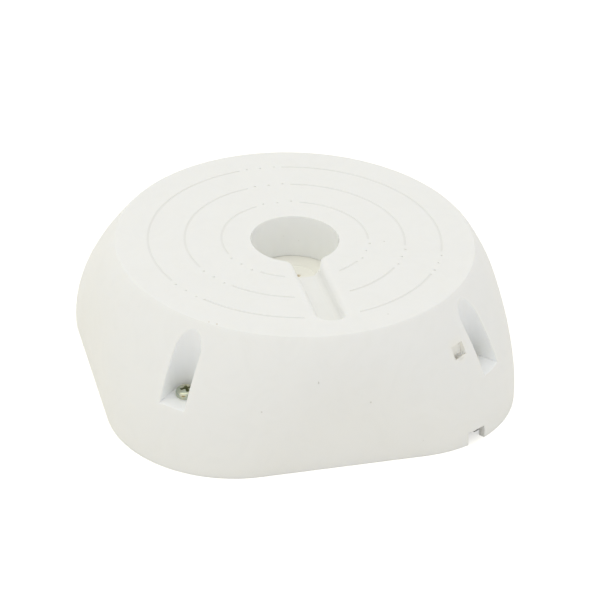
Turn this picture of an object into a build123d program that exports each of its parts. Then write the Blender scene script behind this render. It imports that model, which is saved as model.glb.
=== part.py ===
from build123d import *
from math import cos, radians, sin, tan
import os

# Mounting box for a ceiling or wall camera: a moulded cover over a base plate.
# All sizes in millimetres. The foot stands on z = 0 and the cable channel points to -Y.

# Outside of the cover: a square with round corners that leans in and turns into a circle
box_height = 54.6
foot_width = 169.2
foot_flat = 67.2
waist_height = 24.4
waist_lean = 0.4
waist_flat = 40.0
shoulder_height = 41.0
shoulder_lean = 3.4
shoulder_flat = 11.6
top_lean = 11.1
top_seam_angle = 6.0
top_edge_radius = 0.5

# Walls of the cover
side_wall = 2.6
top_wall = 3.0
under_top_inset = 1.2
rib_thickness = 1.6
rib_depth = 7.0
rib_count = 8
rib_margin = 7.5
stop_rib_thickness = 1.6
stop_rib_height = 9.0
stop_rib_spacing = 64.0
stop_rib_clearance = 0.3

# Cable hole and the channel beside it
bore_radius = 18.25
tube_wall = 2.2
tube_length = 19.0
channel_width = 10.7
channel_depth = 7.4
channel_end_margin = 12.5
channel_end_radius = 4.5
channel_mouth_radius = 5.0
channel_floor_radius = 2.4
channel_edge_radius = 2.6
trough_wall = 2.2

# Drilling guides moulded into the top
ring_radius = 30.0
ring_pitch = 15.0
ring_count = 3
groove_width = 0.9
groove_depth = 0.2
group_gap_width = 18.4
channel_gap_width = 22.4
group_count = 3
group_start_angle = 90.0
dot_spacing = 6.0
dot_columns = 3
dot_radius = 0.55
dot_depth = 0.3

# Screw pockets in the four corners
screw_inset = 16.9
pocket_width = 11.3
pocket_floor_height = 24.5
pocket_floor_wall = 2.6
pocket_side_wall = 2.2
pocket_reach = 40.0
pocket_lip_radius = 0.4
screw_hole_clearance = 0.25

# Blind recess in the leaning wall at one corner, and the cable notch in the rim below it
entry_angle = -54.6
entry_cut_length = 40.0
recess_width = 6.7
recess_height = 5.4
recess_drop = 2.9
recess_lean = 31.0
recess_foot_depth = 2.9
recess_head_depth = 1.0
recess_wall = 2.0
notch_width = 8.8
notch_height = 5.6

# Base plate
plate_thickness = 3.0
plate_edge_gap = 2.4
plate_cut_depth = 14.0
pillar_radius = 5.4
pillar_hole_clearance = 0.4
gusset_thickness = 1.8
gusset_height = 12.0
gusset_reach = 5.0
gusset_taper = 12.0
wall_hole_inset = 17.98
wall_hole_radius = 2.6
wall_pad_radius = 7.0
wall_pad_height = 1.6
slot_spacing = 60.0
slot_length = 10.0
slot_width = 4.6
cable_entry_radius = 22.0
collar_wall = 2.0
collar_height = 5.0
plate_rib_thickness = 1.8
plate_rib_height = 5.0

# Cover screws and the inserts that they turn into
screw_radius = 2.0
screw_length = 16.0
head_radius = 4.15
head_height = 3.1
head_edge_height = 2.25
head_corner_radius = 1.5
cross_width = 0.9
cross_span = 4.8
cross_depth = 1.8
cross_turn = 5.0
insert_radius = 2.8
insert_length = 8.0
thread_clearance = 0.05
insert_clearance = 0.02

# Cable grommet pushed over the lower end of the tube
grommet_skirt_length = 6.0
grommet_skirt_wall = 1.8
grommet_floor = 1.6
grommet_seat_gap = 0.45
grommet_fit = 0.05
grommet_ring_radius = 10.0
grommet_ring_width = 0.8
grommet_ring_height = 0.15
pierce_mark_radius = 0.9
pierce_mark_depth = 0.8
pierce_mark_x = 2.8
pierce_mark_y = 2.5


def round_outline(radius):
    """A circle in eight arcs, split in line with the seams of the rounded square below it."""
    with BuildLine() as outline:
        for quarter in range(4):
            middle = 90 * quarter
            CenterArc((0, 0), radius, middle - top_seam_angle, 2 * top_seam_angle)
            CenterArc((0, 0), radius, middle + top_seam_angle, 90 - 2 * top_seam_angle)
    return outline.edges()


def rounded_square(half_width, flat):
    """A square whose sides run straight over the flat, with a quarter circle at each corner."""
    RectangleRounded(2 * half_width, 2 * half_width, half_width - flat / 2)


def corner_reach(half_width, flat, angle):
    """How far a rounded square reaches from its middle, along an angle that meets a corner."""
    corner_radius = half_width - flat / 2
    along = flat / 2 * (abs(cos(radians(angle))) + abs(sin(radians(angle))))
    return along + (corner_radius**2 - flat**2 / 2 + along**2) ** 0.5


def mouth_gap(corner):
    """How far a corner of the cable way lies from where the channel meets the hole."""
    mouth_y = -((bore_radius**2 - channel_width**2 / 4) ** 0.5)
    return round(abs(corner.Y - mouth_y), 3)


# Sizes worked out from the ones above
foot_half = foot_width / 2
top_radius = foot_half - top_lean
waist_half = foot_half - waist_lean
shoulder_half = foot_half - shoulder_lean
wall_sections = [
    (0, foot_half, foot_flat),
    (waist_height, waist_half, waist_flat),
    (shoulder_height, shoulder_half, shoulder_flat),
]
channel_end = top_radius - channel_end_margin
channel_floor_height = box_height - channel_depth
tube_outer_radius = bore_radius + tube_wall
tube_bottom = box_height - tube_length
screw_circle_radius = corner_reach(foot_half, foot_flat, 45) - screw_inset
screw_spacing = screw_circle_radius * 2**0.5
pocket_radius = pocket_width / 2
pocket_underside = pocket_floor_height - pocket_floor_wall
recess_level = shoulder_height - recess_drop
shoulder_reach = corner_reach(shoulder_half, shoulder_flat, entry_angle)
recess_reach = shoulder_reach + recess_drop * tan(radians(recess_lean))
plate_half = foot_half - side_wall - plate_edge_gap
entry_cut_start = corner_reach(plate_half, foot_flat, entry_angle) - plate_cut_depth
wall_hole_spacing = (screw_circle_radius - wall_hole_inset) * 2**0.5


def pocket_plan(radius):
    """Four U-shaped pockets that open outwards along the diagonals."""
    with PolarLocations(screw_circle_radius, 4, 45):
        Circle(radius)
        Rectangle(pocket_reach, 2 * radius, align=(Align.MIN, Align.CENTER))


def recess_profile(wall):
    """Side view of the recess, grown by a wall: square to the cover, with a back almost upright."""
    sill = -recess_height / 2 - wall
    head = recess_height / 2 + wall
    with Locations((recess_reach, recess_level)):
        Polygon(
            (entry_cut_length, sill),
            (entry_cut_length, head),
            (-recess_head_depth - wall, head),
            (-recess_foot_depth - wall, sill),
            rotation=recess_lean,
            align=None,
        )


# Space inside the cover, with the tube, the trough, the pockets and the ribs left standing
with BuildPart() as hollow:
    for height, half_width, flat in wall_sections:
        with BuildSketch(Plane.XY.offset(height)):
            rounded_square(half_width - side_wall, flat)
    with BuildSketch(Plane.XY.offset(box_height - top_wall)):
        make_face(round_outline(top_radius - under_top_inset))
    loft()
    with BuildSketch(Plane.XY.offset(tube_bottom)):
        Circle(tube_outer_radius)
    extrude(amount=tube_length, mode=Mode.SUBTRACT)
    with BuildSketch(Plane.XY.offset(channel_floor_height - trough_wall)):
        trough_length = channel_end + trough_wall
        Rectangle(channel_width + 2 * trough_wall, trough_length, align=(Align.CENTER, Align.MAX))
    extrude(amount=channel_depth + trough_wall, mode=Mode.SUBTRACT)
    with BuildSketch(Plane.XY.offset(pocket_underside)):
        pocket_plan(pocket_radius + pocket_side_wall)
    extrude(amount=box_height - pocket_underside, mode=Mode.SUBTRACT)
    with BuildSketch(Plane.XZ.rotated((0, 0, entry_angle))):
        recess_profile(recess_wall)
    extrude(amount=recess_width / 2 + recess_wall, both=True, mode=Mode.SUBTRACT)
    with BuildSketch(Plane.XY.offset(box_height - top_wall - rib_depth)):
        with PolarLocations(0, rib_count, 180 / rib_count):
            Rectangle(top_radius - rib_margin, rib_thickness, align=(Align.MIN, Align.CENTER))
    extrude(amount=rib_depth + top_wall, mode=Mode.SUBTRACT)
    with BuildSketch():
        with PolarLocations(plate_half + stop_rib_clearance, 4):
            with GridLocations(0, stop_rib_spacing, 1, 2):
                stop_rib_size = side_wall + plate_edge_gap
                Rectangle(stop_rib_size, stop_rib_thickness, align=(Align.MIN, Align.CENTER))
    extrude(amount=stop_rib_height, mode=Mode.SUBTRACT)

with BuildPart() as cover:
    for height, half_width, flat in wall_sections:
        with BuildSketch(Plane.XY.offset(height)):
            rounded_square(half_width, flat)
    with BuildSketch(Plane.XY.offset(box_height)):
        make_face(round_outline(top_radius))
    loft()
    fillet(cover.faces().sort_by(Axis.Z)[-1].edges(), top_edge_radius)
    add(hollow.part, mode=Mode.SUBTRACT)

    # Channel, hollowed along its floor and softly rounded along its edge
    with BuildSketch(Plane.XY.offset(box_height)) as channel_plan:
        Rectangle(channel_width, channel_end, align=(Align.CENTER, Align.MAX))
        fillet(channel_plan.vertices().group_by(Axis.Y)[0], channel_end_radius)
    extrude(amount=-channel_depth, mode=Mode.SUBTRACT)
    channel_floor = cover.faces(Select.LAST).filter_by(Axis.Z).sort_by(Axis.Z)[0]
    fillet(channel_floor.edges(), channel_floor_radius)
    rim = cover.faces().sort_by(Axis.Z)[-1].inner_wires()[0]
    fillet(rim.edges(), channel_edge_radius)

    # Cable hole with a crisp rim, and round corners where the channel opens into it
    with BuildSketch(Plane.XY.offset(box_height)):
        Circle(bore_radius)
    extrude(amount=-(tube_length + grommet_seat_gap), mode=Mode.SUBTRACT)
    with BuildSketch(Plane.XY.offset(box_height)) as mouth:
        Circle(bore_radius)
        mouth_length = bore_radius + 2 * channel_mouth_radius
        Rectangle(channel_width, mouth_length, align=(Align.CENTER, Align.MAX))
        fillet(mouth.vertices().group_by(mouth_gap)[0], channel_mouth_radius)
    extrude(amount=-(channel_depth - channel_floor_radius), mode=Mode.SUBTRACT)

    # Screw pockets with a softened lip, and a hole in each floor
    with BuildSketch(Plane.XY.offset(pocket_floor_height)):
        pocket_plan(pocket_radius)
    extrude(amount=box_height, mode=Mode.SUBTRACT)
    pocket_lips = cover.edges(Select.LAST).filter_by(GeomType.BSPLINE)
    fillet(pocket_lips, pocket_lip_radius)
    with BuildSketch(Plane.XY.offset(pocket_floor_height)):
        with GridLocations(screw_spacing, screw_spacing, 2, 2):
            Circle(screw_radius + screw_hole_clearance)
    extrude(amount=-2 * pocket_floor_wall, mode=Mode.SUBTRACT)

    # Blind recess and rim notch
    with BuildSketch(Plane.XZ.rotated((0, 0, entry_angle))):
        recess_profile(0)
    extrude(amount=recess_width / 2, both=True, mode=Mode.SUBTRACT)
    with BuildSketch():
        with PolarLocations(entry_cut_start, 1, entry_angle):
            Rectangle(entry_cut_length, notch_width, align=(Align.MIN, Align.CENTER))
    extrude(amount=notch_height, mode=Mode.SUBTRACT)

    # Drilling guides: three broken rings and three groups of dots
    with BuildSketch(Plane.XY.offset(box_height)):
        for ring in reversed(range(ring_count)):
            radius = ring_radius + ring_pitch * ring
            Circle(radius + groove_width / 2)
            Circle(radius - groove_width / 2, mode=Mode.SUBTRACT)
        with PolarLocations(0, group_count, group_start_angle):
            Rectangle(top_radius, group_gap_width, align=(Align.MIN, Align.CENTER), mode=Mode.SUBTRACT)
        Rectangle(channel_gap_width, top_radius, align=(Align.CENTER, Align.MAX), mode=Mode.SUBTRACT)
    extrude(amount=-groove_depth, mode=Mode.SUBTRACT)
    with BuildSketch(Plane.XY.offset(box_height)):
        with PolarLocations(ring_radius + ring_pitch * (ring_count - 1) / 2, group_count, group_start_angle):
            with GridLocations(ring_pitch, dot_spacing, ring_count, dot_columns):
                Circle(dot_radius)
    extrude(amount=-dot_depth, mode=Mode.SUBTRACT)

# Plate that is screwed to the wall or ceiling and carries the cover on four pillars
with BuildPart() as base_plate:
    with BuildSketch():
        rounded_square(plate_half, foot_flat)
        with PolarLocations(entry_cut_start, 1, entry_angle):
            cut_align = (Align.MIN, Align.CENTER)
            Rectangle(entry_cut_length, notch_width, align=cut_align, mode=Mode.SUBTRACT)
    extrude(amount=plate_thickness)
    with BuildSketch(Plane.XY.offset(plate_thickness)):
        with GridLocations(screw_spacing, screw_spacing, 2, 2):
            Circle(pillar_radius)
    extrude(amount=pocket_underside - plate_thickness)
    with BuildSketch(Plane.XY.offset(plate_thickness)):
        Circle(cable_entry_radius + collar_wall)
    extrude(amount=collar_height)
    with BuildSketch(Plane.XY.offset(plate_thickness)):
        with PolarLocations(0, 4, 45):
            Rectangle(screw_circle_radius, plate_rib_thickness, align=(Align.MIN, Align.CENTER))
    extrude(amount=plate_rib_height)
    with BuildSketch(Plane.XY.offset(plate_thickness)):
        with GridLocations(screw_spacing, screw_spacing, 2, 2):
            Rectangle(2 * (pillar_radius + gusset_reach), gusset_thickness)
            Rectangle(gusset_thickness, 2 * (pillar_radius + gusset_reach))
    extrude(amount=gusset_height, taper=gusset_taper)
    with BuildSketch(Plane.XY.offset(plate_thickness)):
        with GridLocations(wall_hole_spacing, wall_hole_spacing, 2, 2):
            Circle(wall_pad_radius)
    extrude(amount=wall_pad_height)
    with BuildSketch():
        Circle(cable_entry_radius)
        with GridLocations(wall_hole_spacing, wall_hole_spacing, 2, 2):
            Circle(wall_hole_radius)
        with GridLocations(slot_spacing, 0, 2, 1):
            SlotOverall(slot_length, slot_width)
    extrude(amount=box_height, mode=Mode.SUBTRACT)
    with BuildSketch(Plane.XY.offset(pocket_underside)):
        with GridLocations(screw_spacing, screw_spacing, 2, 2):
            Circle(screw_radius + pillar_hole_clearance)
    extrude(amount=-screw_length, mode=Mode.SUBTRACT)
    with BuildSketch(Plane.XY.offset(pocket_underside)):
        with GridLocations(screw_spacing, screw_spacing, 2, 2):
            Circle(insert_radius + insert_clearance)
    extrude(amount=-insert_length, mode=Mode.SUBTRACT)

# Brass insert pressed into the head of each pillar
with BuildPart() as threaded_insert:
    Cylinder(insert_radius, insert_length, align=(Align.CENTER, Align.CENTER, Align.MAX))
    Hole(screw_radius + thread_clearance)

with BuildPart() as threaded_inserts:
    with Locations((0, 0, pocket_underside)):
        with GridLocations(screw_spacing, screw_spacing, 2, 2):
            add(threaded_insert.part)

# Pan-head screw with a cross recess, standing on the pocket floor
with BuildPart() as cover_screw:
    with BuildSketch(Plane.XZ):
        with BuildLine():
            Polyline(
                (0, head_height),
                (0, -screw_length),
                (screw_radius - thread_clearance, -screw_length),
                (screw_radius - thread_clearance, 0),
                (head_radius, 0),
                (head_radius, head_edge_height),
            )
            TangentArc((0, head_height), (head_radius, head_edge_height), tangent=(1, 0))
        make_face()
    revolve(axis=Axis.Z)
    full_circles = cover_screw.edges().filter_by(lambda edge: edge.is_closed)
    fillet(full_circles.sort_by(Axis.Z)[-1], head_corner_radius)
    with BuildSketch(Plane.XY.offset(head_height)):
        Rectangle(cross_span, cross_width, rotation=cross_turn)
        Rectangle(cross_width, cross_span, rotation=cross_turn)
    extrude(amount=-cross_depth, mode=Mode.SUBTRACT)

with BuildPart() as cover_screws:
    with Locations((0, 0, pocket_floor_height)):
        with GridLocations(screw_spacing, screw_spacing, 2, 2):
            add(cover_screw.part)

# Soft cap over the lower end of the tube, pierced by the cable
with BuildPart() as cable_grommet:
    with BuildSketch(Plane.XY.offset(tube_bottom - grommet_seat_gap - grommet_floor)):
        Circle(tube_outer_radius + grommet_fit + grommet_skirt_wall)
    extrude(amount=grommet_floor + grommet_seat_gap + grommet_skirt_length)
    with BuildSketch(Plane.XY.offset(tube_bottom - grommet_seat_gap)):
        Circle(tube_outer_radius + grommet_fit)
    extrude(amount=box_height, mode=Mode.SUBTRACT)
    with BuildSketch(Plane.XY.offset(tube_bottom - grommet_seat_gap)):
        Circle(grommet_ring_radius + grommet_ring_width / 2)
        Circle(grommet_ring_radius - grommet_ring_width / 2, mode=Mode.SUBTRACT)
    extrude(amount=grommet_ring_height)
    with BuildSketch(Plane.XY.offset(tube_bottom - grommet_seat_gap)):
        with Locations((pierce_mark_x, pierce_mark_y)):
            Circle(pierce_mark_radius)
    extrude(amount=-pierce_mark_depth, mode=Mode.SUBTRACT)

os.makedirs("parts", exist_ok=True)
pieces = {
    "cover": cover,
    "base_plate": base_plate,
    "threaded_inserts": threaded_inserts,
    "cover_screws": cover_screws,
    "cable_grommet": cable_grommet,
}
for name, piece in pieces.items():
    piece.part.label = name
    export_step(piece.part, f"parts/{name}.step")
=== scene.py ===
import math

import bmesh
import bpy
from mathutils import Matrix, Vector


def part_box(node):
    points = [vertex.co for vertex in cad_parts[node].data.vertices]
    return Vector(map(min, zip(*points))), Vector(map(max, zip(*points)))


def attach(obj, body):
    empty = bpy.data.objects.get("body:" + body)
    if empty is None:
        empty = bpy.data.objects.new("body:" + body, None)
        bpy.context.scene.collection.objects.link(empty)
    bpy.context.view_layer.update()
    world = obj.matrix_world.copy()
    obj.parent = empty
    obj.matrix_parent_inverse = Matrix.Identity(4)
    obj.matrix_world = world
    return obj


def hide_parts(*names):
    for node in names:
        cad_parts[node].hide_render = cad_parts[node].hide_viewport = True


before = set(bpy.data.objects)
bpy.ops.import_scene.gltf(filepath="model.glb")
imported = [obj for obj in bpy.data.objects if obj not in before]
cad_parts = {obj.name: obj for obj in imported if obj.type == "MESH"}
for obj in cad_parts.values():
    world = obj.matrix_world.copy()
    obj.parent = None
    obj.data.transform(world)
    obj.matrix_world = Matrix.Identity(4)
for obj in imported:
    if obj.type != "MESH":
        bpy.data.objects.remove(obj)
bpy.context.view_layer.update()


# Base plate
# A flat ABS moulding that is screwed to the wall or ceiling, inside the foot of the cover.
# Its four pillars carry the brass inserts, and its raised collar leads the cable up.

def add_node(tree, kind, place, **settings):
    """Adds one shader node to a tree, at a place in the node editor, and sets its properties."""
    node = tree.nodes.new(kind)
    node.location = place
    for setting, value in settings.items():
        setattr(node, setting, value)
    return node


def join(tree, *pairs):
    """Joins shader sockets, each pair from an output to an input."""
    for source, target in pairs:
        tree.links.new(source, target)


def new_material(name):
    """A material with an empty Principled shader, and its node tree."""
    material = bpy.data.materials.new(name)
    material.use_nodes = True
    tree = material.node_tree
    return material, tree, tree.nodes["Principled BSDF"]


def make_moulded_grain():
    """Fine grain of the mould, slow drift in the plastic, and the curls that it leaves as it flows."""
    grain_share = 0.25
    group = bpy.data.node_groups.new("Moulded grain", "ShaderNodeTree")
    sockets = group.interface
    sockets.new_socket("Grain per metre", in_out="INPUT", socket_type="NodeSocketFloat")
    sockets.new_socket("Drift per metre", in_out="INPUT", socket_type="NodeSocketFloat")
    sockets.new_socket("Height", in_out="OUTPUT", socket_type="NodeSocketFloat")
    sockets.new_socket("Drift", in_out="OUTPUT", socket_type="NodeSocketFloat")
    sockets.new_socket("Curls", in_out="OUTPUT", socket_type="NodeSocketFloat")
    start = add_node(group, "NodeGroupInput", (-900, 0))
    end = add_node(group, "NodeGroupOutput", (500, 0))
    place = add_node(group, "ShaderNodeTexCoord", (-900, -200))
    grain = add_node(group, "ShaderNodeTexNoise", (-500, 200))
    grain.inputs["Detail"].default_value = 2
    drift = add_node(group, "ShaderNodeTexNoise", (-500, -100))
    drift.inputs["Detail"].default_value = 1
    drift.inputs["Distortion"].default_value = 1.6
    curls = add_node(group, "ShaderNodeTexNoise", (-500, -400))
    curls.inputs["Detail"].default_value = 3
    curls.inputs["Distortion"].default_value = 4.5
    both = add_node(group, "ShaderNodeMath", (0, 100), operation="MULTIPLY_ADD")
    both.inputs[1].default_value = grain_share
    thin = add_node(group, "ShaderNodeMapRange", (0, -400))
    thin.inputs["From Min"].default_value = 0.50
    thin.inputs["From Max"].default_value = 0.62
    join(
        group,
        (place.outputs["Object"], grain.inputs["Vector"]),
        (place.outputs["Object"], drift.inputs["Vector"]),
        (place.outputs["Object"], curls.inputs["Vector"]),
        (start.outputs["Grain per metre"], grain.inputs["Scale"]),
        (start.outputs["Drift per metre"], drift.inputs["Scale"]),
        (start.outputs["Drift per metre"], curls.inputs["Scale"]),
        (grain.outputs["Fac"], both.inputs[0]),
        (drift.outputs["Fac"], both.inputs[2]),
        (curls.outputs["Fac"], thin.inputs["Value"]),
        (both.outputs[0], end.inputs["Height"]),
        (drift.outputs["Fac"], end.inputs["Drift"]),
        (thin.outputs["Result"], end.inputs["Curls"]),
    )
    return group


moulded_grain = make_moulded_grain()


def moulded_plastic(name, light, dark, grain_size, drift_size, relief, gloss):
    """A moulded plastic whose colour and gloss drift a little with the flow of the moulding."""
    curl_share = 0.35
    material, tree, shader = new_material(name)
    surface = add_node(tree, "ShaderNodeGroup", (-1300, 0), node_tree=moulded_grain)
    surface.inputs["Grain per metre"].default_value = 1 / grain_size
    surface.inputs["Drift per metre"].default_value = 1 / drift_size
    both_flows = add_node(tree, "ShaderNodeMath", (-1100, 200), operation="MULTIPLY_ADD")
    both_flows.inputs[1].default_value = curl_share
    colour = add_node(tree, "ShaderNodeMix", (-900, 200), data_type="RGBA")
    colour.inputs["A"].default_value = (*light, 1)
    colour.inputs["B"].default_value = (*dark, 1)
    sheen = add_node(tree, "ShaderNodeMapRange", (-500, -100))
    sheen.inputs["To Min"].default_value = gloss[0]
    sheen.inputs["To Max"].default_value = gloss[1]
    bump = add_node(tree, "ShaderNodeBump", (-500, -400))
    bump.inputs["Strength"].default_value = 0.5
    bump.inputs["Distance"].default_value = relief
    join(
        tree,
        (surface.outputs["Curls"], both_flows.inputs[0]),
        (surface.outputs["Drift"], both_flows.inputs[2]),
        (both_flows.outputs[0], colour.inputs["Factor"]),
        (surface.outputs["Drift"], sheen.inputs["Value"]),
        (surface.outputs["Height"], bump.inputs["Height"]),
        (colour.outputs["Result"], shader.inputs["Base Color"]),
        (sheen.outputs["Result"], shader.inputs["Roughness"]),
        (bump.outputs["Normal"], shader.inputs["Normal"]),
    )
    return material, tree, shader


def finish_node(name, material):
    """Gives a CAD node its finish."""
    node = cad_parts[name]
    node.data.materials.clear()
    node.data.materials.append(material)


plate_plastic, _, _ = moulded_plastic(
    "plate plastic",
    light=(0.84, 0.84, 0.81),
    dark=(0.79, 0.79, 0.76),
    grain_size=0.0004,
    drift_size=0.03,
    relief=0.00004,
    gloss=(0.5, 0.6),
)
finish_node("base_plate", plate_plastic)


# Threaded inserts
# Turned brass bushes, pressed hot into the heads of the pillars.
# They are out of sight under the pocket floors, and take the cover screws.

brass, brass_tree, brass_shader = new_material("turned brass")
brass_shader.inputs["Metallic"].default_value = 1
brass_place = add_node(brass_tree, "ShaderNodeTexCoord", (-900, 0))
turning = add_node(brass_tree, "ShaderNodeTexWave", (-700, 100), bands_direction="Z")
turning.inputs["Scale"].default_value = 900
tarnish = add_node(brass_tree, "ShaderNodeTexNoise", (-700, -250))
tarnish.inputs["Scale"].default_value = 400
brass_colour = add_node(brass_tree, "ShaderNodeMix", (-400, 200), data_type="RGBA")
brass_colour.inputs["A"].default_value = (0.72, 0.53, 0.24, 1)
brass_colour.inputs["B"].default_value = (0.60, 0.43, 0.18, 1)
brass_sheen = add_node(brass_tree, "ShaderNodeMapRange", (-400, -50))
brass_sheen.inputs["To Min"].default_value = 0.24
brass_sheen.inputs["To Max"].default_value = 0.38
brass_bump = add_node(brass_tree, "ShaderNodeBump", (-400, -350))
brass_bump.inputs["Distance"].default_value = 0.0001
join(
    brass_tree,
    (brass_place.outputs["Object"], turning.inputs["Vector"]),
    (brass_place.outputs["Object"], tarnish.inputs["Vector"]),
    (tarnish.outputs["Fac"], brass_colour.inputs["Factor"]),
    (tarnish.outputs["Fac"], brass_sheen.inputs["Value"]),
    (turning.outputs["Fac"], brass_bump.inputs["Height"]),
    (brass_colour.outputs["Result"], brass_shader.inputs["Base Color"]),
    (brass_sheen.outputs["Result"], brass_shader.inputs["Roughness"]),
    (brass_bump.outputs["Normal"], brass_shader.inputs["Normal"]),
)
finish_node("threaded_inserts", brass)


# Cover
# One ABS moulding, satin white and faintly warm, let down over the base plate.
# Its top carries the drilling guides, the cable hole and the channel that leads out to the side.

cover_height = 0.0546

cover_plastic, cover_tree, cover_shader = moulded_plastic(
    "cover plastic",
    light=(0.945, 0.947, 0.930),
    dark=(0.925, 0.927, 0.909),
    grain_size=0.0003,
    drift_size=0.025,
    relief=0.00002,
    gloss=(0.34, 0.42),
)
cover_shader.inputs["Specular IOR Level"].default_value = 0.3
cover_shader.inputs["Subsurface Weight"].default_value = 0.25
cover_shader.inputs["Subsurface Radius"].default_value = (1.0, 0.95, 0.85)
cover_shader.inputs["Subsurface Scale"].default_value = 0.002


def make_fleck():
    """Mask of one small spot on a moulding: a ball round a point, drawn out along some axes."""
    group = bpy.data.node_groups.new("Fleck", "ShaderNodeTree")
    sockets = group.interface
    sockets.new_socket("Centre", in_out="INPUT", socket_type="NodeSocketVector")
    sockets.new_socket("Half size", in_out="INPUT", socket_type="NodeSocketVector")
    sockets.new_socket("Strength", in_out="INPUT", socket_type="NodeSocketFloat")
    sockets.new_socket("Mask", in_out="OUTPUT", socket_type="NodeSocketFloat")
    start = add_node(group, "NodeGroupInput", (-900, 0))
    end = add_node(group, "NodeGroupOutput", (500, 0))
    place = add_node(group, "ShaderNodeTexCoord", (-900, 200))
    offset = add_node(group, "ShaderNodeVectorMath", (-600, 100), operation="SUBTRACT")
    scaled = add_node(group, "ShaderNodeVectorMath", (-400, 100), operation="DIVIDE")
    reach = add_node(group, "ShaderNodeVectorMath", (-200, 100), operation="LENGTH")
    soft = add_node(group, "ShaderNodeMapRange", (0, 100))
    soft.inputs["From Min"].default_value = 1.0
    soft.inputs["From Max"].default_value = 0.5
    level = add_node(group, "ShaderNodeMath", (250, 0), operation="MULTIPLY")
    join(
        group,
        (place.outputs["Object"], offset.inputs[0]),
        (start.outputs["Centre"], offset.inputs[1]),
        (offset.outputs[0], scaled.inputs[0]),
        (start.outputs["Half size"], scaled.inputs[1]),
        (scaled.outputs[0], reach.inputs[0]),
        (reach.outputs["Value"], soft.inputs["Value"]),
        (soft.outputs["Result"], level.inputs[0]),
        (start.outputs["Strength"], level.inputs[1]),
        (level.outputs[0], end.inputs["Mask"]),
    )
    return group


fleck = make_fleck()


def lay_over(tree, shader, mask, colour):
    """Lays a colour over the one that a material has so far, as strongly as a mask says."""
    below = shader.inputs["Base Color"].links[0].from_socket
    over = add_node(tree, "ShaderNodeMix", (-300, 300), data_type="RGBA")
    over.inputs["B"].default_value = (*colour, 1)
    join(
        tree,
        (mask, over.inputs["Factor"]),
        (below, over.inputs["A"]),
        (over.outputs["Result"], shader.inputs["Base Color"]),
    )


def add_fleck(tree, shader, centre, half_size, strength, colour):
    """Puts one small spot on a material."""
    spot = add_node(tree, "ShaderNodeGroup", (-700, 600), node_tree=fleck)
    spot.inputs["Centre"].default_value = centre
    spot.inputs["Half size"].default_value = half_size
    spot.inputs["Strength"].default_value = strength
    lay_over(tree, shader, spot.outputs["Mask"], colour)


# The floors of the guide grooves and dots are painted darker and greyer than the top, as painted shade
# in the grooves.
# They are the level faces that lie within a little of the depth of the two.
groove_depth = 0.0002
dot_depth = 0.0003
guide_slack = 0.0001
level_enough = 0.995
guide_shade_strength = 0.3
guide_painted_shade = (0.74, 0.735, 0.72)
guide_place = add_node(cover_tree, "ShaderNodeTexCoord", (-1300, 800))
guide_split = add_node(cover_tree, "ShaderNodeSeparateXYZ", (-1100, 800))
guide_level = add_node(cover_tree, "ShaderNodeMath", (-900, 800), operation="COMPARE")
guide_level.inputs[1].default_value = cover_height - (groove_depth + dot_depth) / 2
guide_level.inputs[2].default_value = guide_slack
guide_face = add_node(cover_tree, "ShaderNodeNewGeometry", (-1300, 1000))
guide_facing = add_node(cover_tree, "ShaderNodeSeparateXYZ", (-1100, 1000))
guide_flat = add_node(cover_tree, "ShaderNodeMath", (-900, 1000), operation="GREATER_THAN")
guide_flat.inputs[1].default_value = level_enough
guide_both = add_node(cover_tree, "ShaderNodeMath", (-700, 900), operation="MULTIPLY")
guide_shade_mask = add_node(cover_tree, "ShaderNodeMath", (-500, 900), operation="MULTIPLY")
guide_shade_mask.inputs[1].default_value = guide_shade_strength
join(
    cover_tree,
    (guide_place.outputs["Object"], guide_split.inputs[0]),
    (guide_split.outputs["Z"], guide_level.inputs[0]),
    (guide_face.outputs["True Normal"], guide_facing.inputs[0]),
    (guide_facing.outputs["Z"], guide_flat.inputs[0]),
    (guide_level.outputs[0], guide_both.inputs[0]),
    (guide_flat.outputs[0], guide_both.inputs[1]),
    (guide_both.outputs[0], guide_shade_mask.inputs[0]),
)
# Painted shade: the floors of the grooves and dots are darkened
lay_over(cover_tree, cover_shader, guide_shade_mask.outputs[0], guide_painted_shade)

# The pin that forms the tube is polished, so the tube is glossier than the rest
tube_reach_limit = 0.0184
polished_roughness = 0.16
tube_plan = add_node(cover_tree, "ShaderNodeVectorMath", (-1100, -600), operation="MULTIPLY")
tube_plan.inputs[1].default_value = (1, 1, 0)
tube_reach = add_node(cover_tree, "ShaderNodeVectorMath", (-900, -600), operation="LENGTH")
tube_inside = add_node(cover_tree, "ShaderNodeMath", (-700, -600), operation="LESS_THAN")
tube_inside.inputs[1].default_value = tube_reach_limit
tube_polish = add_node(cover_tree, "ShaderNodeMix", (-250, -200), data_type="FLOAT")
tube_polish.inputs["B"].default_value = polished_roughness
join(
    cover_tree,
    (guide_place.outputs["Object"], tube_plan.inputs[0]),
    (tube_plan.outputs[0], tube_reach.inputs[0]),
    (tube_reach.outputs["Value"], tube_inside.inputs[0]),
    (tube_inside.outputs[0], tube_polish.inputs["Factor"]),
    (cover_shader.inputs["Roughness"].links[0].from_socket, tube_polish.inputs["A"]),
    (tube_polish.outputs["Result"], cover_shader.inputs["Roughness"]),
)
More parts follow.
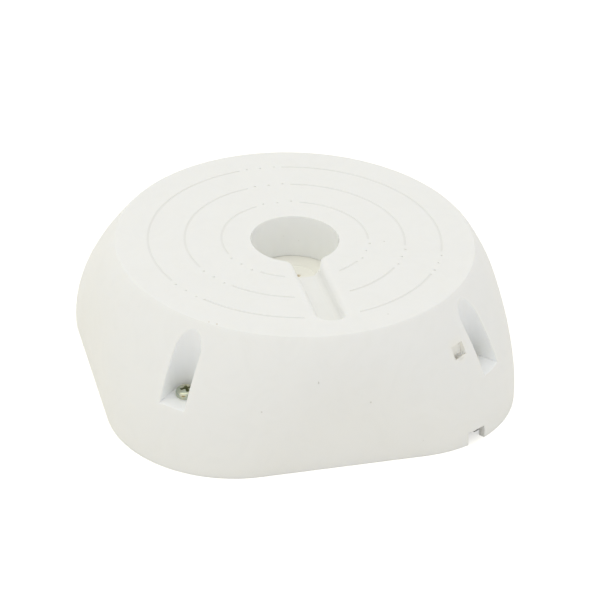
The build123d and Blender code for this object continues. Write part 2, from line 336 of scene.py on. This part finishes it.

# Inside the tube and the pockets the white is painted lighter and cooler, as painted light that
# brightens these hollows.
# A pocket is what lies near the line that runs outwards from its screw, above its floor.
tube_painted_light = (0.970, 0.978, 0.962)
pocket_painted_light = (0.975, 0.988, 1.0)
pocket_middle = 0.057712
pocket_half_width = 0.00567
pocket_floor_height = 0.0245
pocket_floor_slack = 0.0001
pocket_plan = add_node(cover_tree, "ShaderNodeVectorMath", (-1300, -900), operation="ABSOLUTE")
pocket_axis = add_node(cover_tree, "ShaderNodeMapping", (-1100, -900))
pocket_axis.inputs["Location"].default_value = (-pocket_middle * math.sqrt(2), 0, 0)
pocket_axis.inputs["Rotation"].default_value = (0, 0, math.radians(-45))
pocket_away = add_node(cover_tree, "ShaderNodeVectorMath", (-900, -900), operation="MINIMUM")
pocket_away.inputs[1].default_value = (0, 1, 0)
pocket_reach = add_node(cover_tree, "ShaderNodeVectorMath", (-700, -900), operation="LENGTH")
pocket_between = add_node(cover_tree, "ShaderNodeMath", (-500, -900), operation="LESS_THAN")
pocket_between.inputs[1].default_value = pocket_half_width
pocket_above = add_node(cover_tree, "ShaderNodeMath", (-500, -1100), operation="GREATER_THAN")
pocket_above.inputs[1].default_value = pocket_floor_height - pocket_floor_slack
pocket_inside = add_node(cover_tree, "ShaderNodeMath", (-300, -900), operation="MULTIPLY")
join(
    cover_tree,
    (guide_place.outputs["Object"], pocket_plan.inputs[0]),
    (pocket_plan.outputs[0], pocket_axis.inputs["Vector"]),
    (pocket_axis.outputs[0], pocket_away.inputs[0]),
    (pocket_away.outputs[0], pocket_reach.inputs[0]),
    (pocket_reach.outputs["Value"], pocket_between.inputs[0]),
    (guide_split.outputs["Z"], pocket_above.inputs[0]),
    (pocket_between.outputs[0], pocket_inside.inputs[0]),
    (pocket_above.outputs[0], pocket_inside.inputs[1]),
)
# Painted light: the insides of the tube and the pockets are lightened and cooled
lay_over(cover_tree, cover_shader, tube_inside.outputs[0], tube_painted_light)
lay_over(cover_tree, cover_shader, pocket_inside.outputs[0], pocket_painted_light)

# Painted light in the recess: a cream glow over it, and painted shade along its bottom. Then marks of
# use: specks on the walls, the top, its edge and in the tube. Each has its centre, half its size, its
# strength and its colour.
recess_painted_glow = (0.93, 0.905, 0.82)
grey_dust_and_shade = (0.45, 0.43, 0.38)
brown_dust = (0.52, 0.40, 0.22)
for centre, half_size, strength, colour in [
    # Painted light: a warm cream glow over the recess
    ((0.0489, -0.0688, 0.0381), (0.0060, 0.0060, 0.0060), 0.4, recess_painted_glow),
    # Painted shade: these three grey spots darken the bottom of the recess
    ((0.0481, -0.0704, 0.0357), (0.0014, 0.0016, 0.0012), 0.5, grey_dust_and_shade),
    ((0.0489, -0.0689, 0.0350), (0.0032, 0.0032, 0.0010), 0.4, grey_dust_and_shade),
    ((0.0462, -0.0693, 0.0346), (0.0030, 0.0030, 0.0028), 0.3, grey_dust_and_shade),
    # Marks of use: grey and brown specks
    ((-0.0110, -0.0817, 0.0392), (0.0003, 0.0010, 0.0007), 0.5, grey_dust_and_shade),
    ((0.0097, -0.0839, 0.0287), (0.0004, 0.0010, 0.0004), 0.5, grey_dust_and_shade),
    ((0.0318, -0.0843, 0.0081), (0.0004, 0.0010, 0.0004), 0.5, grey_dust_and_shade),
    ((-0.0333, -0.0817, 0.0287), (0.0004, 0.0010, 0.0004), 0.4, grey_dust_and_shade),
    ((0.0353, -0.0094, 0.0546), (0.0005, 0.0004, 0.0010), 0.4, grey_dust_and_shade),
    ((0.0214, -0.0628, 0.0546), (0.0004, 0.0004, 0.0010), 0.4, grey_dust_and_shade),
    ((-0.0455, -0.0563, 0.0543), (0.0005, 0.0005, 0.0010), 0.6, brown_dust),
    ((-0.0482, -0.0542, 0.0543), (0.0004, 0.0004, 0.0010), 0.5, brown_dust),
    ((0.0, 0.01825, 0.0453), (0.0004, 0.0010, 0.0004), 0.12, grey_dust_and_shade),
    ((0.0063, 0.0171, 0.0430), (0.0004, 0.0010, 0.0004), 0.15, grey_dust_and_shade),
]:
    add_fleck(cover_tree, cover_shader, centre, half_size, strength, colour)
finish_node("cover", cover_plastic)


# Cable grommet
# A soft cream cap pushed over the lower end of the tube, with a ring to cut along.
# The cable is pushed through it, and a first prick is left beside the middle.

grommet_floor_top = 0.0355
grommet_floor_bottom = 0.03355
grommet_skirt_top = 0.0416
grommet_inner_radius = 0.0205
grommet_outer_radius = 0.0223
grommet_edge = 0.0005
ring_middle = 0.0100
ring_half_width = 0.0004
ring_rise = 0.00015
prick_centre = Vector((0.0026, 0.0019))
prick_radius = 0.0009
prick_depth = 0.0009
prick_steepness = 0.7
prick_lip = 0.00012
prick_lip_reach = 1.8


def turned_form(profile, segments):
    """Spins a profile of (radius, height) points round the Z axis into a closed form."""
    form = bmesh.new()
    rings = []
    for radius, height in profile:
        if radius == 0:
            rings.append([form.verts.new((0, 0, height))])
            continue
        turns = [2 * math.pi * step / segments for step in range(segments)]
        rings.append([
            form.verts.new((radius * math.cos(turn), radius * math.sin(turn), height))
            for turn in turns
        ])
    for first, second in zip(rings, rings[1:]):
        for step in range(segments):
            corners = [
                first[step % len(first)],
                first[(step + 1) % segments % len(first)],
                second[(step + 1) % segments % len(second)],
                second[step % len(second)],
            ]
            form.faces.new(dict.fromkeys(corners))
    bmesh.ops.recalc_face_normals(form, faces=form.faces)
    return form


def new_piece(name, form, material, crease_angle):
    """Makes an object of a form, smooth but for the edges sharper than the crease angle."""
    mesh = bpy.data.meshes.new(name)
    for face in form.faces:
        face.smooth = True
    form.to_mesh(mesh)
    form.free()
    mesh.set_sharp_from_angle(angle=crease_angle)
    mesh.materials.append(material)
    piece = bpy.data.objects.new(name, mesh)
    bpy.context.scene.collection.objects.link(piece)
    return piece


def quarter_round(centre, radius, start, steps):
    """Points of a quarter circle in a profile, counted on from a start angle in degrees."""
    points = []
    for step in range(steps + 1):
        angle = math.radians(start + 90 * step / steps)
        points.append((centre[0] + radius * math.cos(angle), centre[1] + radius * math.sin(angle)))
    return points


# The floor has close circles inside the ring, where the prick dents it, and wide ones outside
inner_circle_pitch = 0.0003
outer_circle_pitch = 0.001
grommet_profile = [(0, grommet_floor_top)]
for step in range(1, 32):
    grommet_profile.append((inner_circle_pitch * step, grommet_floor_top))
for step in range(9):
    across = step / 4 - 1
    bead = ring_rise * math.cos(across * math.pi / 2)
    grommet_profile.append((ring_middle + ring_half_width * across, grommet_floor_top + bead))
for step in range(1, 10):
    grommet_profile.append((ring_middle + outer_circle_pitch * (step + 0.5), grommet_floor_top))
grommet_profile.append((grommet_inner_radius, grommet_floor_top))
grommet_profile.append((grommet_inner_radius, grommet_skirt_top - grommet_edge))
grommet_profile.append((grommet_inner_radius + grommet_edge, grommet_skirt_top))
grommet_profile += reversed(quarter_round(
    (grommet_outer_radius - grommet_edge, grommet_skirt_top - grommet_edge), grommet_edge, 0, 5))
grommet_profile += reversed(quarter_round(
    (grommet_outer_radius - grommet_edge, grommet_floor_bottom + grommet_edge), grommet_edge, 270, 5))
grommet_profile.append((0, grommet_floor_bottom))
grommet_form = turned_form(grommet_profile, 128)

# The prick dents the floor and pushes up a low lip around the dent
same_level = 1e-6
for corner in grommet_form.verts:
    if abs(corner.co.z - grommet_floor_top) > same_level:
        continue
    away = (corner.co.xy - prick_centre).length / prick_radius
    if away < 1:
        corner.co.z -= prick_depth * (1 - away) ** prick_steepness
    elif away < prick_lip_reach:
        corner.co.z += prick_lip * math.sin(math.pi * (away - 1) / (prick_lip_reach - 1))

grommet_rubber, grommet_tree, grommet_shader = moulded_plastic(
    "grommet rubber",
    light=(0.975, 0.965, 0.905),
    dark=(0.955, 0.940, 0.875),
    grain_size=0.0005,
    drift_size=0.01,
    relief=0.00005,
    gloss=(0.45, 0.55),
)
brown_grime = (0.50, 0.36, 0.17)
prick_place = (*prick_centre, grommet_floor_top)
add_fleck(grommet_tree, grommet_shader, prick_place, (0.0011, 0.0011, 0.002), 0.75, brown_grime)
grommet_crease = math.radians(50)
grommet = new_piece("cable_grommet_cap", grommet_form, grommet_rubber, grommet_crease)
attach(grommet, "root")
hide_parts("cable_grommet")


# Cover screws
# Plated M4 pan heads with a cross recess, turned down through the pocket floors.
# They clamp the cover to the inserts in the pillars of the base plate.

head_radius = 0.00415
head_height = 0.0031
head_edge_height = 0.00225
head_round = 0.0015
head_foot_height = 0.00012
head_foot_inset = 0.0001
shank_radius = 0.00195
shank_length = 0.016
shank_tip_chamfer = 0.0008
thread_pitch = 0.0007
thread_depth = 0.0003
thread_top = -0.0006
thread_bottom = 0.0004 - shank_length
thread_steps = 80
dome_steps = 12

dome_drop = head_height - head_edge_height
dome_radius = (head_radius**2 + dome_drop**2) / (2 * dome_drop)
dome_centre = head_height - dome_radius
round_centre = head_radius - head_round
round_level = dome_centre + math.sqrt((dome_radius - head_round) ** 2 - round_centre**2)
dome_turn = math.atan2(round_centre, round_level - dome_centre)

screw_profile = [(0, head_height)]
for step in range(1, dome_steps + 1):
    turn = dome_turn * step / dome_steps
    screw_profile.append((dome_radius * math.sin(turn), dome_centre + dome_radius * math.cos(turn)))
for step in range(1, dome_steps + 1):
    turn = dome_turn + (math.pi / 2 - dome_turn) * step / dome_steps
    out, up = head_round * math.sin(turn), head_round * math.cos(turn)
    screw_profile.append((round_centre + out, round_level + up))
screw_profile.append((head_radius, head_foot_height))
screw_profile.append((head_radius - head_foot_inset, 0))
screw_profile.append((shank_radius, 0))
circles_start = -0.0004
circles_end = shank_tip_chamfer - shank_length
for step in range(thread_steps + 1):
    along = circles_start + (circles_end - circles_start) * step / thread_steps
    screw_profile.append((shank_radius, along))
screw_profile.append((shank_radius - shank_tip_chamfer, -shank_length))
screw_profile.append((0, -shank_length))

# The thread winds down the shank as a groove with sloping sides
screw_form = turned_form(screw_profile, 48)
for corner in screw_form.verts:
    if corner.co.z > thread_top or corner.co.z < thread_bottom:
        continue
    turns = corner.co.z / thread_pitch + math.atan2(corner.co.y, corner.co.x) / (2 * math.pi)
    groove = thread_depth * (1 - abs(2 * (turns % 1) - 1))
    corner.co.xy *= 1 - groove / shank_radius


# Height, half span and half width of the driver's cross, from above the head to its bottom
cross_levels = [
    (0.0040, 0.00265, 0.00075),
    (0.0030, 0.0025, 0.00066),
    (0.0012, 0.0016, 0.00040),
    (0.0007, 0.0006, 0.00020),
]


def cross_wing(turned):
    """One bar of the driver's cross, wide and long at the top and tapering to the bottom."""
    form = bmesh.new()
    rings = []
    for height, half_span, half_width in cross_levels:
        signs = [(-1, -1), (1, -1), (1, 1), (-1, 1)]
        plan = [(half_span * side, half_width * end) for side, end in signs]
        if turned:
            plan = [(-y, x) for x, y in plan]
        rings.append([form.verts.new((x, y, height)) for x, y in plan])
    for first, second in zip(rings, rings[1:]):
        for step in range(4):
            form.faces.new((first[step], first[(step + 1) % 4], second[(step + 1) % 4], second[step]))
    form.faces.new(rings[0])
    form.faces.new(rings[-1])
    bmesh.ops.recalc_face_normals(form, faces=form.faces)
    return form


nickel, nickel_tree, nickel_shader = new_material("nickel plate")
nickel_place = add_node(nickel_tree, "ShaderNodeTexCoord", (-1100, 0))
plating = add_node(nickel_tree, "ShaderNodeTexNoise", (-900, 200))
plating.inputs["Scale"].default_value = 260
plating.inputs["Detail"].default_value = 3
plating_spread = add_node(nickel_tree, "ShaderNodeMapRange", (-700, 200))
plating_spread.inputs["From Min"].default_value = 0.35
plating_spread.inputs["From Max"].default_value = 0.65
nickel_colour = add_node(nickel_tree, "ShaderNodeMix", (-400, 200), data_type="RGBA")
nickel_colour.inputs["A"].default_value = (0.47, 0.52, 0.44, 1)
nickel_colour.inputs["B"].default_value = (0.70, 0.66, 0.47, 1)
nickel_sheen = add_node(nickel_tree, "ShaderNodeMapRange", (-400, -50))
nickel_sheen.inputs["To Min"].default_value = 0.20
nickel_sheen.inputs["To Max"].default_value = 0.32
handling = add_node(nickel_tree, "ShaderNodeTexNoise", (-900, -300))
handling.inputs["Scale"].default_value = 2500
nickel_bump = add_node(nickel_tree, "ShaderNodeBump", (-400, -350))
nickel_bump.inputs["Strength"].default_value = 0.3
nickel_bump.inputs["Distance"].default_value = 0.00002
join(
    nickel_tree,
    (nickel_place.outputs["Object"], plating.inputs["Vector"]),
    (nickel_place.outputs["Object"], handling.inputs["Vector"]),
    (plating.outputs["Fac"], plating_spread.inputs["Value"]),
    (plating_spread.outputs["Result"], nickel_colour.inputs["Factor"]),
    (plating.outputs["Fac"], nickel_sheen.inputs["Value"]),
    (handling.outputs["Fac"], nickel_bump.inputs["Height"]),
    (nickel_colour.outputs["Result"], nickel_shader.inputs["Base Color"]),
    (nickel_sheen.outputs["Result"], nickel_shader.inputs["Roughness"]),
    (nickel_bump.outputs["Normal"], nickel_shader.inputs["Normal"]),
)

# Painted shade inside the cross: what lies under the dome of the head, near its middle, is darkened and
# made less metallic
cross_painted_shade_colour = (0.20, 0.22, 0.10)
cross_shade_reach = 0.0026
shade_begins = 0.00010
shade_full = 0.00060
shaded_metallic = 0.15
cross_split = add_node(nickel_tree, "ShaderNodeSeparateXYZ", (-900, 600))
cross_out = add_node(nickel_tree, "ShaderNodeVectorMath", (-900, 800), operation="LENGTH")
cross_plan = add_node(nickel_tree, "ShaderNodeVectorMath", (-1100, 800), operation="MULTIPLY")
cross_plan.inputs[1].default_value = (1, 1, 0)
dome_fall = add_node(nickel_tree, "ShaderNodeMath", (-700, 800), operation="POWER")
dome_fall.inputs[1].default_value = 2
below_top = add_node(nickel_tree, "ShaderNodeMath", (-700, 600), operation="SUBTRACT")
below_top.inputs[0].default_value = head_height
below_dome = add_node(nickel_tree, "ShaderNodeMath", (-500, 700), operation="MULTIPLY_ADD")
below_dome.inputs[1].default_value = -0.5 / dome_radius
cross_deep = add_node(nickel_tree, "ShaderNodeMapRange", (-300, 700))
cross_deep.inputs["From Min"].default_value = shade_begins
cross_deep.inputs["From Max"].default_value = shade_full
cross_inside = add_node(nickel_tree, "ShaderNodeMath", (-500, 900), operation="LESS_THAN")
cross_inside.inputs[1].default_value = cross_shade_reach
cross_shade = add_node(nickel_tree, "ShaderNodeMath", (-100, 800), operation="MULTIPLY")
shade_metallic_mix = add_node(nickel_tree, "ShaderNodeMapRange", (-100, 100))
shade_metallic_mix.inputs["To Min"].default_value = 1
shade_metallic_mix.inputs["To Max"].default_value = shaded_metallic
join(
    nickel_tree,
    (nickel_place.outputs["Object"], cross_split.inputs[0]),
    (nickel_place.outputs["Object"], cross_plan.inputs[0]),
    (cross_plan.outputs[0], cross_out.inputs[0]),
    (cross_out.outputs["Value"], dome_fall.inputs[0]),
    (cross_split.outputs["Z"], below_top.inputs[1]),
    (dome_fall.outputs[0], below_dome.inputs[0]),
    (below_top.outputs[0], below_dome.inputs[2]),
    (below_dome.outputs[0], cross_deep.inputs["Value"]),
    (cross_out.outputs["Value"], cross_inside.inputs[0]),
    (cross_deep.outputs["Result"], cross_shade.inputs[0]),
    (cross_inside.outputs[0], cross_shade.inputs[1]),
    (cross_shade.outputs[0], shade_metallic_mix.inputs["Value"]),
    (shade_metallic_mix.outputs["Result"], nickel_shader.inputs["Metallic"]),
)
# Painted shade: the cross recess is darkened
lay_over(nickel_tree, nickel_shader, cross_shade.outputs[0], cross_painted_shade_colour)

# Painted reflection: a brown strip low on the head stands in for a dark reflection in the plating
painted_reflection_brown = (0.26, 0.19, 0.06)
reflection_place = (-0.0022, -0.0034, 0.0016)
add_fleck(nickel_tree, nickel_shader, reflection_place, (0.0016, 0.0007, 0.0004), 0.8, painted_reflection_brown)

# Two bars are cut from the turned blank, and the slivers that the cuts leave are welded away
weld_distance = 0.000002
screw_crease = math.radians(30)
blank = new_piece("screw_blank", screw_form, nickel, screw_crease)
for turned in (False, True):
    cutter = new_piece("cross_cutter", cross_wing(turned), nickel, screw_crease)
    cut = blank.modifiers.new("cross recess", "BOOLEAN")
    cut.operation = "DIFFERENCE"
    cut.solver = "EXACT"
    cut.object = cutter
bpy.context.view_layer.update()
screw_mesh = bpy.data.meshes.new_from_object(blank.evaluated_get(bpy.context.evaluated_depsgraph_get()))
screw_mesh.name = "cover_screw"
cut_form = bmesh.new()
cut_form.from_mesh(screw_mesh)
bmesh.ops.remove_doubles(cut_form, verts=cut_form.verts, dist=weld_distance)
bmesh.ops.dissolve_degenerate(cut_form, edges=cut_form.edges, dist=weld_distance)
cut_form.to_mesh(screw_mesh)
cut_form.free()
screw_mesh.set_sharp_from_angle(angle=screw_crease)
for used_up in [blank] + [cut.object for cut in blank.modifiers]:
    bpy.data.objects.remove(used_up)

# Each head came to a stop at its own turn, in degrees
_, screws_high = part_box("cover_screws")
screw_reach = screws_high[0] - head_radius
for corner_name, side_x, side_y, turn in [
    ("front_left", -1, -1, 5),
    ("front_right", 1, -1, 38),
    ("back_right", 1, 1, 71),
    ("back_left", -1, 1, 22),
]:
    screw = bpy.data.objects.new("cover_screw_" + corner_name, screw_mesh.copy())
    bpy.context.scene.collection.objects.link(screw)
    screw.rotation_euler.z = math.radians(turn)
    screw.location = (side_x * screw_reach, side_y * screw_reach, pocket_floor_height)
    bpy.context.view_layer.update()
    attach(screw, "root")
    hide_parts("cover_screws")


# Floor, light and camera
# A white table in a light tent, with one large soft box overhead.
# The tent and table show as plain white, and the table keeps the box's soft shadow.

bpy.ops.mesh.primitive_plane_add(size=6, location=(0, 0, 0))
floor = bpy.context.object
floor.name = "floor"
floor_white, floor_tree, floor_shader = new_material("white table")
floor_shader.inputs["Base Color"].default_value = (0.90, 0.88, 0.81, 1)
floor_shader.inputs["Roughness"].default_value = 0.9
floor_shader.inputs["Specular IOR Level"].default_value = 0.2
floor_shader.inputs["Emission Color"].default_value = (1, 1, 1, 1)


def whitened(tree, plain, seen, mirrored):
    """Strength of a glow: as plain light, as the camera sees it, and as reflections show it."""
    path = add_node(tree, "ShaderNodeLightPath", (-1100, 0))
    reflected = add_node(tree, "ShaderNodeMath", (-900, 0), operation="MAXIMUM")
    raised = add_node(tree, "ShaderNodeMapRange", (-700, 0))
    raised.inputs["To Min"].default_value = plain
    raised.inputs["To Max"].default_value = mirrored
    shown = add_node(tree, "ShaderNodeMix", (-500, 0), data_type="FLOAT")
    shown.inputs["B"].default_value = seen
    join(
        tree,
        (path.outputs["Is Glossy Ray"], reflected.inputs[0]),
        (path.outputs["Is Transmission Ray"], reflected.inputs[1]),
        (reflected.outputs[0], raised.inputs["Value"]),
        (path.outputs["Is Camera Ray"], shown.inputs["Factor"]),
        (raised.outputs["Result"], shown.inputs["A"]),
    )
    return shown.outputs["Result"]


floor_glow = whitened(floor_tree, plain=0, seen=0.55, mirrored=0.15)
floor_tree.links.new(floor_glow, floor_shader.inputs["Emission Strength"])
floor.data.materials.append(floor_white)

world = bpy.data.worlds.new("light tent")
bpy.context.scene.world = world
world.use_nodes = True
tent = world.node_tree.nodes["Background"]
tent.inputs["Color"].default_value = (1, 1, 1, 1)
tent_level = whitened(world.node_tree, plain=0.80, seen=1, mirrored=1)
world.node_tree.links.new(tent_level, tent.inputs["Strength"])

lamp_data = bpy.data.lights.new("overhead soft box", "AREA")
lamp_data.shape = "SQUARE"
lamp_data.size = 1.0
lamp_data.energy = 2.0
lamp_data.color = (1, 0.98, 0.70)
lamp = bpy.data.objects.new("overhead soft box", lamp_data)
lamp_place = Vector((-0.4, 0.15, 1.15))
lamp_target = Vector((0, 0, 0.03))
lamp.location = lamp_place
lamp.rotation_euler = (lamp_target - lamp_place).to_track_quat("-Z", "Y").to_euler()
bpy.context.scene.collection.objects.link(lamp)

camera_data = bpy.data.cameras.new("camera")
camera_data.lens = 148.0
camera = bpy.data.objects.new("camera", camera_data)
camera_place = (-0.2297, -0.8353, 0.5699)
camera_side_turn = math.radians(-15.573)
camera_down_tilt = math.radians(32.163)
camera_roll = math.radians(2.073)
aim = Matrix.Rotation(camera_side_turn, 4, "Z")
aim = aim @ Matrix.Rotation(math.pi / 2 - camera_down_tilt, 4, "X")
aim = aim @ Matrix.Rotation(camera_roll, 4, "Z")
camera.matrix_world = Matrix.Translation(camera_place) @ aim
bpy.context.scene.collection.objects.link(camera)
bpy.context.scene.camera = camera
bpy.context.scene.view_settings.view_transform = "Standard"
